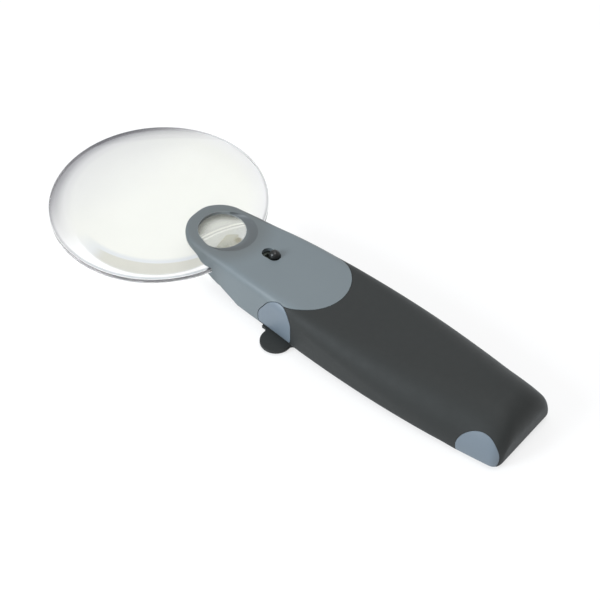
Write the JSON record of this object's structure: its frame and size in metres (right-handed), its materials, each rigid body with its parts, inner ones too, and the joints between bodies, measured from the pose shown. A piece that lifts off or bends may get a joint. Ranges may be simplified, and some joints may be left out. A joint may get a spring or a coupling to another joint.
{
  "type": "low vision magnifier",
  "caption": "Rimless round hand magnifier: a large clear lens clamped in a grey head that holds a small strong lens and a lamp, on a black battery handle with a hinged lid.",
  "frame": {"origin": "bottom centre of the bounding box, on the plane that the handle's flat underside rests on", "axes": "+X along the handle from the large lens to the tail, +Z from the flat underside up through the head's top plate, +Y to the side away from the pull tab"},
  "size_m": [0.227, 0.09, 0.0225],
  "materials": {
    "lens_acrylic": "polished clear",
    "head_grey": "fine satin",
    "inlay_grey": "fine satin",
    "soft_black": "soft-touch coating",
    "knob_black": "polished",
    "inner_black": "moulded",
    "led_window_clear": "polished clear",
    "led_epoxy": "polished",
    "board_green": "solder resist",
    "resistor_body": "lacquered",
    "steel": "plated",
    "wire_insulation": "smooth",
    "cell_sleeve": "printed sleeve, plain"
  },
  "bodies": {
    "housing": {"main_lens": "lens_acrylic", "inspection_lens": "lens_acrylic", "head_plate": "head_grey", "head_lower_shell": "head_grey", "lens_screws": "steel", "led_window": "led_window_clear", "led_collar": "inner_black", "led": "led_epoxy", "circuit_board": "board_green", "board_screws": "steel", "resistor": "resistor_body", "switch_body": "inner_black", "lead_wires": "wire_insulation", "handle_upper_shell": "soft_black", "far_inlay": "inlay_grey", "battery_near": "cell_sleeve", "battery_far": "cell_sleeve", "terminal_plates": "steel", "bridge_contact": "steel", "contact_springs": "steel", "hinge_bracket": "inlay_grey", "bracket_screws": "steel", "lid_hinge_pin": "steel"},
    "switch_slider": {"switch_knob": "knob_black"},
    "latch": {"latch_button": "inlay_grey", "latch_spring": "steel"},
    "lid": {"battery_lid": "soft_black"}
  },
  "joints": [
    {"name": "lid_hinge", "type": "hinge", "parent": "housing", "child": "lid", "pos_m": [0.103, 0, 0.0025], "axis": [0, -1, 0], "range_deg": [0, 95]},
    {"name": "switch_slide", "type": "slide", "parent": "housing", "child": "switch_slider", "axis": [-1, 0, 0], "range_m": [0, 0.003]},
    {"name": "latch_press", "type": "slide", "parent": "housing", "child": "latch", "axis": [0, 1, 0], "range_m": [0, 0.0012], "stiffness_N_per_m": 100}
  ]
}
